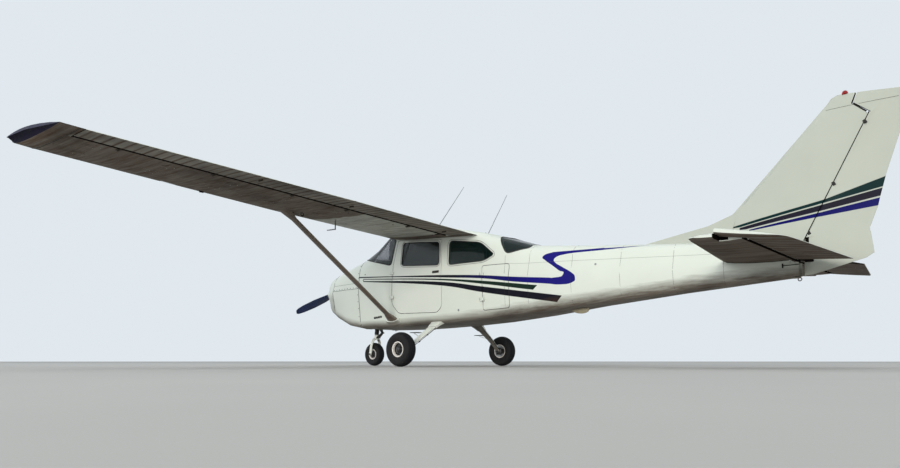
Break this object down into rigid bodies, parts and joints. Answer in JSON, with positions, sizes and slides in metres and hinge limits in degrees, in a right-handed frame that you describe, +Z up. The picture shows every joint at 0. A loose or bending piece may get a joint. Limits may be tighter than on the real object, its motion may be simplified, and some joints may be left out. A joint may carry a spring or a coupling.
{
  "type": "high-wing four-seat light aircraft",
  "caption": "Strut-braced high-wing light aircraft with swept fin, fixed tricycle gear, opening doors, hinged control surfaces and a free-turning propeller.",
  "frame": {"origin": "on the ground under the centre of the bounding box, between the wing tips", "axes": "+X towards the nose, +Y towards the left wing tip, +Z up"},
  "size_m": [8.2118, 11, 2.715],
  "materials": {
    "white_paint": "gloss",
    "navy_paint": "gloss",
    "tinted_glazing": "gloss",
    "tyre_rubber": "matte",
    "seat_cloth": "matte",
    "dark_plastic": "matte",
    "grey_enamel": "satin",
    "dark_steel": "satin",
    "enamelled_steel": "satin",
    "engine_castings": "satin",
    "bright_steel": "satin",
    "red_lens": "gloss"
  },
  "bodies": {
    "airframe": {"cabin_body": "white_paint", "tail_cone": "white_paint", "cowl_nose": "white_paint", "cowl_upper": "white_paint", "cowl_lower": "white_paint", "engine_block": "engine_castings", "exhaust_pipe": "bright_steel", "windscreen": "tinted_glazing", "rear_window": "tinted_glazing", "side_window_left": "tinted_glazing", "side_window_right": "tinted_glazing", "wing_left": "white_paint", "wing_right": "white_paint", "wing_tip_left": "navy_paint", "wing_tip_right": "navy_paint", "strut_left": "white_paint", "strut_right": "white_paint", "fin": "white_paint", "stabilizer": "white_paint", "main_leg_left": "enamelled_steel", "main_leg_right": "enamelled_steel", "brake_left": "dark_steel", "brake_right": "dark_steel", "nose_leg": "dark_steel", "seat_frame_left": "grey_enamel", "seat_frame_right": "grey_enamel", "seat_pad_left": "seat_cloth", "seat_pad_right": "seat_cloth", "rear_seat_pad": "seat_cloth", "rear_seat_frame": "grey_enamel", "instrument_panel": "dark_plastic", "yoke_left": "dark_plastic", "yoke_right": "dark_plastic", "pitot_tube": "bright_steel", "beacon": "red_lens", "antenna_front": "bright_steel", "antenna_rear": "bright_steel"},
    "propeller": {"propeller": "navy_paint", "spinner": "white_paint"},
    "left_door": {"door_left": "white_paint", "door_window_left": "tinted_glazing"},
    "right_door": {"door_right": "white_paint", "door_window_right": "tinted_glazing"},
    "baggage_door": {"baggage_door": "white_paint"},
    "left_flap": {"flap_left": "white_paint"},
    "right_flap": {"flap_right": "white_paint"},
    "left_aileron": {"aileron_left": "white_paint"},
    "right_aileron": {"aileron_right": "white_paint"},
    "elevator": {"elevator": "white_paint", "trim_tab": "white_paint"},
    "rudder": {"rudder": "white_paint"},
    "left_main_wheel": {"main_tyre_left": "tyre_rubber", "main_wheel_left": "white_paint"},
    "right_main_wheel": {"main_tyre_right": "tyre_rubber", "main_wheel_right": "white_paint"},
    "nose_fork": {"nose_fork": "enamelled_steel"},
    "nose_wheel": {"nose_tyre": "tyre_rubber", "nose_wheel": "white_paint"}
  },
  "joints": [
    {"name": "propeller_spin", "type": "hinge", "parent": "airframe", "child": "propeller", "pos_m": [3.96367, 0, 1.2], "axis": [1, 0, 0], "continuous": true},
    {"name": "nose_steer", "type": "hinge", "parent": "airframe", "child": "nose_fork", "pos_m": [3.13309, 0, 0.178], "axis": [-0.1375, 0, 0.9905], "range_deg": [-30, 30]},
    {"name": "nose_wheel_spin", "type": "hinge", "parent": "nose_fork", "child": "nose_wheel", "pos_m": [3.13309, 0, 0.178], "axis": [0, 1, 0], "continuous": true},
    {"name": "left_main_wheel_spin", "type": "hinge", "parent": "airframe", "child": "left_main_wheel", "pos_m": [1.48209, 1.09, 0.22225], "axis": [0, 1, 0], "continuous": true},
    {"name": "right_main_wheel_spin", "type": "hinge", "parent": "airframe", "child": "right_main_wheel", "pos_m": [1.48209, -1.09, 0.22225], "axis": [0, 1, 0], "continuous": true},
    {"name": "left_door_hinge", "type": "hinge", "parent": "airframe", "child": "left_door", "pos_m": [2.24282, 0.5357, 1.15], "axis": [0, 0, -1], "range_deg": [0, 52]},
    {"name": "right_door_hinge", "type": "hinge", "parent": "airframe", "child": "right_door", "pos_m": [2.24282, -0.5357, 1.15], "axis": [0, 0, 1], "range_deg": [0, 52]},
    {"name": "baggage_door_hinge", "type": "hinge", "parent": "airframe", "child": "baggage_door", "pos_m": [0.62865, 0.50517, 1.02], "axis": [0, 0, -1], "range_deg": [0, 110]},
    {"name": "left_flap_hinge", "type": "hinge", "parent": "airframe", "child": "left_flap", "pos_m": [1.08935, 1.57725, 1.68137], "axis": [0, -0.9993, -0.0384], "range_deg": [0, 40]},
    {"name": "right_flap_hinge", "type": "hinge", "parent": "airframe", "child": "right_flap", "pos_m": [1.08935, -1.57725, 1.68137], "axis": [0, -0.9993, 0.0384], "range_deg": [0, 40]},
    {"name": "left_aileron_hinge", "type": "hinge", "parent": "airframe", "child": "left_aileron", "pos_m": [1.15026, 3.901, 1.91085], "axis": [-0.0451, -0.9979, -0.0459], "range_deg": [-17.5, 17.5]},
    {"name": "right_aileron_hinge", "type": "hinge", "parent": "airframe", "child": "right_aileron", "pos_m": [1.15026, -3.901, 1.91085], "axis": [0.0451, -0.9979, 0.0459], "range_deg": [-17.5, 17.5]},
    {"name": "elevator_hinge", "type": "hinge", "parent": "airframe", "child": "elevator", "pos_m": [-3.02641, 0, 1.12], "axis": [0, -1, 0], "range_deg": [-38.5, 12.5]},
    {"name": "rudder_hinge", "type": "hinge", "parent": "airframe", "child": "rudder", "pos_m": [-3.42796, 0, 1.8665], "axis": [-0.4679, 0, 0.8838], "range_deg": [-17.7, 17.7]}
  ],
  "couplings": [
    {"joint": "right_flap_hinge", "follows": "left_flap_hinge", "ratio": 1},
    {"joint": "right_aileron_hinge", "follows": "left_aileron_hinge", "ratio": -1}
  ]
}
